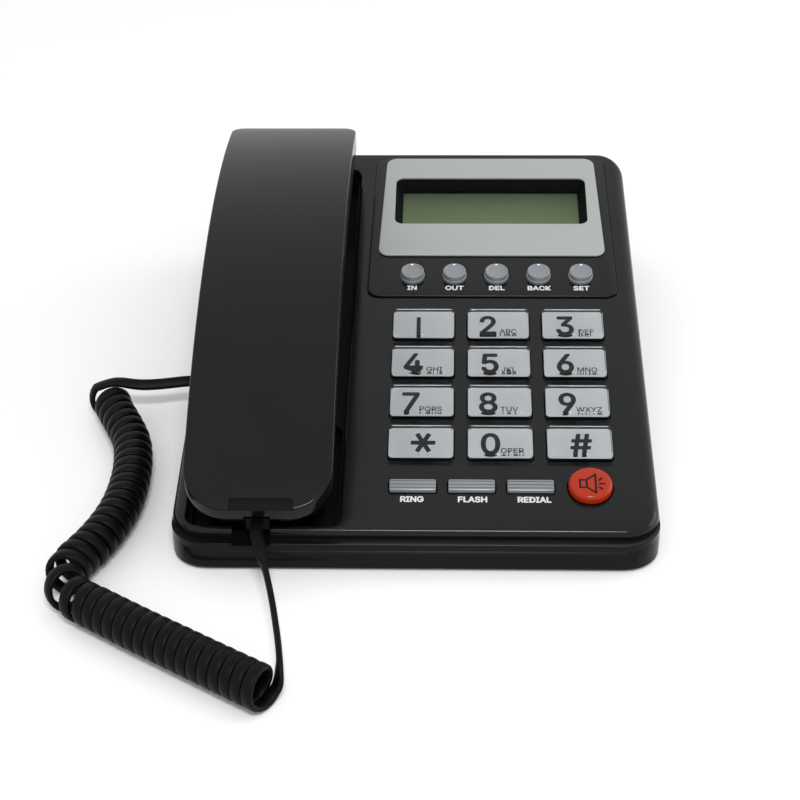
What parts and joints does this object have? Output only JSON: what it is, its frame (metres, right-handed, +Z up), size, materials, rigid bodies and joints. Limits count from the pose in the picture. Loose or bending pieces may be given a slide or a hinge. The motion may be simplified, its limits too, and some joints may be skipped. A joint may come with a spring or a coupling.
{
  "type": "corded telephone",
  "caption": "Corded desk telephone with a cradled handset on a curly cord, a sloping base, a display, a push-button keypad and a loudspeaker button.",
  "frame": {"origin": "middle of the base's footprint, at the height of the surface that the rubber feet stand on", "axes": "+X to the right of a person facing the keypad, +Y away from them, +Z up"},
  "size_m": [0.2016, 0.2778, 0.0686],
  "materials": {
    "black_gloss": "smooth moulded charcoal black, glossy",
    "black_matt": "moulded black, matt",
    "silver_plate": "silver lacquered plate",
    "key_plastic": "pale silver grey moulded key",
    "silver_plastic": "silver painted button",
    "red_plastic": "orange red, slightly see-through",
    "display_green": "grey green display",
    "display_lens": "clear window",
    "foot_rubber": "matt rubber",
    "silicone": "grey silicone sheet",
    "board_green": "solder mask",
    "steel": "zinc plated",
    "ballast_iron": "plain iron",
    "cone_black": "paper cone and frame",
    "cell_jacket": "plain wrapped cell",
    "connector_plastic": "moulded connector",
    "plug_plastic": "smoky clear plug",
    "cord_black": "flat black cord, satin"
  },
  "bodies": {
    "base": {"base_bottom_shell": "black_gloss", "base_top_shell": "black_gloss", "battery_door": "black_matt", "battery_1": "cell_jacket", "battery_2": "cell_jacket", "battery_3": "cell_jacket", "base_screw_front_right": "steel", "base_screw_rear_right": "steel", "base_screw_front_left": "steel", "base_screw_rear_left": "steel", "foot_front_left": "foot_rubber", "foot_front_right": "foot_rubber", "foot_rear_left": "foot_rubber", "foot_rear_right": "foot_rubber", "loudspeaker": "cone_black", "ballast_weight": "ballast_iron", "handsfree_microphone": "connector_plastic", "display_panel": "black_gloss", "faceplate": "silver_plate", "display_lens": "display_lens", "display_module": "display_green", "switch_membrane": "silicone", "main_board": "board_green", "hook_switch": "connector_plastic", "handset_cord_socket": "connector_plastic", "base_plug": "plug_plastic", "line_socket": "connector_plastic", "curly_cord": "cord_black", "handset_lead": "cord_black", "base_lead": "cord_black"},
    "handset": {"handset_back_shell": "black_gloss", "handset_front_shell": "black_gloss", "receiver_capsule": "connector_plastic", "transmitter_capsule": "steel", "handset_weight": "ballast_iron", "handset_screw": "steel", "handset_socket": "connector_plastic", "handset_plug": "plug_plastic"},
    "hook_plunger": {"hook_plunger": "black_matt"},
    "key_1": {"key_1": "key_plastic"},
    "key_2": {"key_2": "key_plastic"},
    "key_3": {"key_3": "key_plastic"},
    "key_4": {"key_4": "key_plastic"},
    "key_5": {"key_5": "key_plastic"},
    "key_6": {"key_6": "key_plastic"},
    "key_7": {"key_7": "key_plastic"},
    "key_8": {"key_8": "key_plastic"},
    "key_9": {"key_9": "key_plastic"},
    "key_star": {"key_star": "key_plastic"},
    "key_0": {"key_0": "key_plastic"},
    "key_hash": {"key_hash": "key_plastic"},
    "in_button": {"in_button": "silver_plastic"},
    "out_button": {"out_button": "silver_plastic"},
    "delete_button": {"delete_button": "silver_plastic"},
    "back_button": {"back_button": "silver_plastic"},
    "set_button": {"set_button": "silver_plastic"},
    "ring_button": {"ring_button": "silver_plastic"},
    "flash_button": {"flash_button": "silver_plastic"},
    "redial_button": {"redial_button": "silver_plastic"},
    "loudspeaker_button": {"loudspeaker_button": "red_plastic"}
  },
  "joints": [
    {"name": "handset_lift", "type": "slide", "parent": "base", "child": "handset", "axis": [0, -0.1564, 0.9877], "range_m": [0, 0.08]},
    {"name": "hook_rise", "type": "slide", "parent": "base", "child": "hook_plunger", "axis": [0, -0.1564, 0.9877], "range_m": [0, 0.004]},
    {"name": "key_1_press", "type": "slide", "parent": "base", "child": "key_1", "axis": [0, 0.1564, -0.9877], "range_m": [0, 0.0015], "stiffness_N_per_m": 300, "springref_m": -0.002},
    {"name": "key_2_press", "type": "slide", "parent": "base", "child": "key_2", "axis": [0, 0.1564, -0.9877], "range_m": [0, 0.0015], "stiffness_N_per_m": 300, "springref_m": -0.002},
    {"name": "key_3_press", "type": "slide", "parent": "base", "child": "key_3", "axis": [0, 0.1564, -0.9877], "range_m": [0, 0.0015], "stiffness_N_per_m": 300, "springref_m": -0.002},
    {"name": "key_4_press", "type": "slide", "parent": "base", "child": "key_4", "axis": [0, 0.1564, -0.9877], "range_m": [0, 0.0015], "stiffness_N_per_m": 300, "springref_m": -0.002},
    {"name": "key_5_press", "type": "slide", "parent": "base", "child": "key_5", "axis": [0, 0.1564, -0.9877], "range_m": [0, 0.0015], "stiffness_N_per_m": 300, "springref_m": -0.002},
    {"name": "key_6_press", "type": "slide", "parent": "base", "child": "key_6", "axis": [0, 0.1564, -0.9877], "range_m": [0, 0.0015], "stiffness_N_per_m": 300, "springref_m": -0.002},
    {"name": "key_7_press", "type": "slide", "parent": "base", "child": "key_7", "axis": [0, 0.1564, -0.9877], "range_m": [0, 0.0015], "stiffness_N_per_m": 300, "springref_m": -0.002},
    {"name": "key_8_press", "type": "slide", "parent": "base", "child": "key_8", "axis": [0, 0.1564, -0.9877], "range_m": [0, 0.0015], "stiffness_N_per_m": 300, "springref_m": -0.002},
    {"name": "key_9_press", "type": "slide", "parent": "base", "child": "key_9", "axis": [0, 0.1564, -0.9877], "range_m": [0, 0.0015], "stiffness_N_per_m": 300, "springref_m": -0.002},
    {"name": "key_star_press", "type": "slide", "parent": "base", "child": "key_star", "axis": [0, 0.1564, -0.9877], "range_m": [0, 0.0015], "stiffness_N_per_m": 300, "springref_m": -0.002},
    {"name": "key_0_press", "type": "slide", "parent": "base", "child": "key_0", "axis": [0, 0.1564, -0.9877], "range_m": [0, 0.0015], "stiffness_N_per_m": 300, "springref_m": -0.002},
    {"name": "key_hash_press", "type": "slide", "parent": "base", "child": "key_hash", "axis": [0, 0.1564, -0.9877], "range_m": [0, 0.0015], "stiffness_N_per_m": 300, "springref_m": -0.002},
    {"name": "in_button_press", "type": "slide", "parent": "base", "child": "in_button", "axis": [0, 0.1564, -0.9877], "range_m": [0, 0.0015], "stiffness_N_per_m": 300, "springref_m": -0.002},
    {"name": "out_button_press", "type": "slide", "parent": "base", "child": "out_button", "axis": [0, 0.1564, -0.9877], "range_m": [0, 0.0015], "stiffness_N_per_m": 300, "springref_m": -0.002},
    {"name": "delete_button_press", "type": "slide", "parent": "base", "child": "delete_button", "axis": [0, 0.1564, -0.9877], "range_m": [0, 0.0015], "stiffness_N_per_m": 300, "springref_m": -0.002},
    {"name": "back_button_press", "type": "slide", "parent": "base", "child": "back_button", "axis": [0, 0.1564, -0.9877], "range_m": [0, 0.0015], "stiffness_N_per_m": 300, "springref_m": -0.002},
    {"name": "set_button_press", "type": "slide", "parent": "base", "child": "set_button", "axis": [0, 0.1564, -0.9877], "range_m": [0, 0.0015], "stiffness_N_per_m": 300, "springref_m": -0.002},
    {"name": "ring_button_press", "type": "slide", "parent": "base", "child": "ring_button", "axis": [0, 0.1564, -0.9877], "range_m": [0, 0.0015], "stiffness_N_per_m": 300, "springref_m": -0.002},
    {"name": "flash_button_press", "type": "slide", "parent": "base", "child": "flash_button", "axis": [0, 0.1564, -0.9877], "range_m": [0, 0.0015], "stiffness_N_per_m": 300, "springref_m": -0.002},
    {"name": "redial_button_press", "type": "slide", "parent": "base", "child": "redial_button", "axis": [0, 0.1564, -0.9877], "range_m": [0, 0.0015], "stiffness_N_per_m": 300, "springref_m": -0.002},
    {"name": "loudspeaker_button_press", "type": "slide", "parent": "base", "child": "loudspeaker_button", "axis": [0, 0.1564, -0.9877], "range_m": [0, 0.0015], "stiffness_N_per_m": 300, "springref_m": -0.002}
  ],
  "couplings": [
    {"joint": "hook_rise", "follows": "handset_lift", "ratio": 0.05}
  ]
}
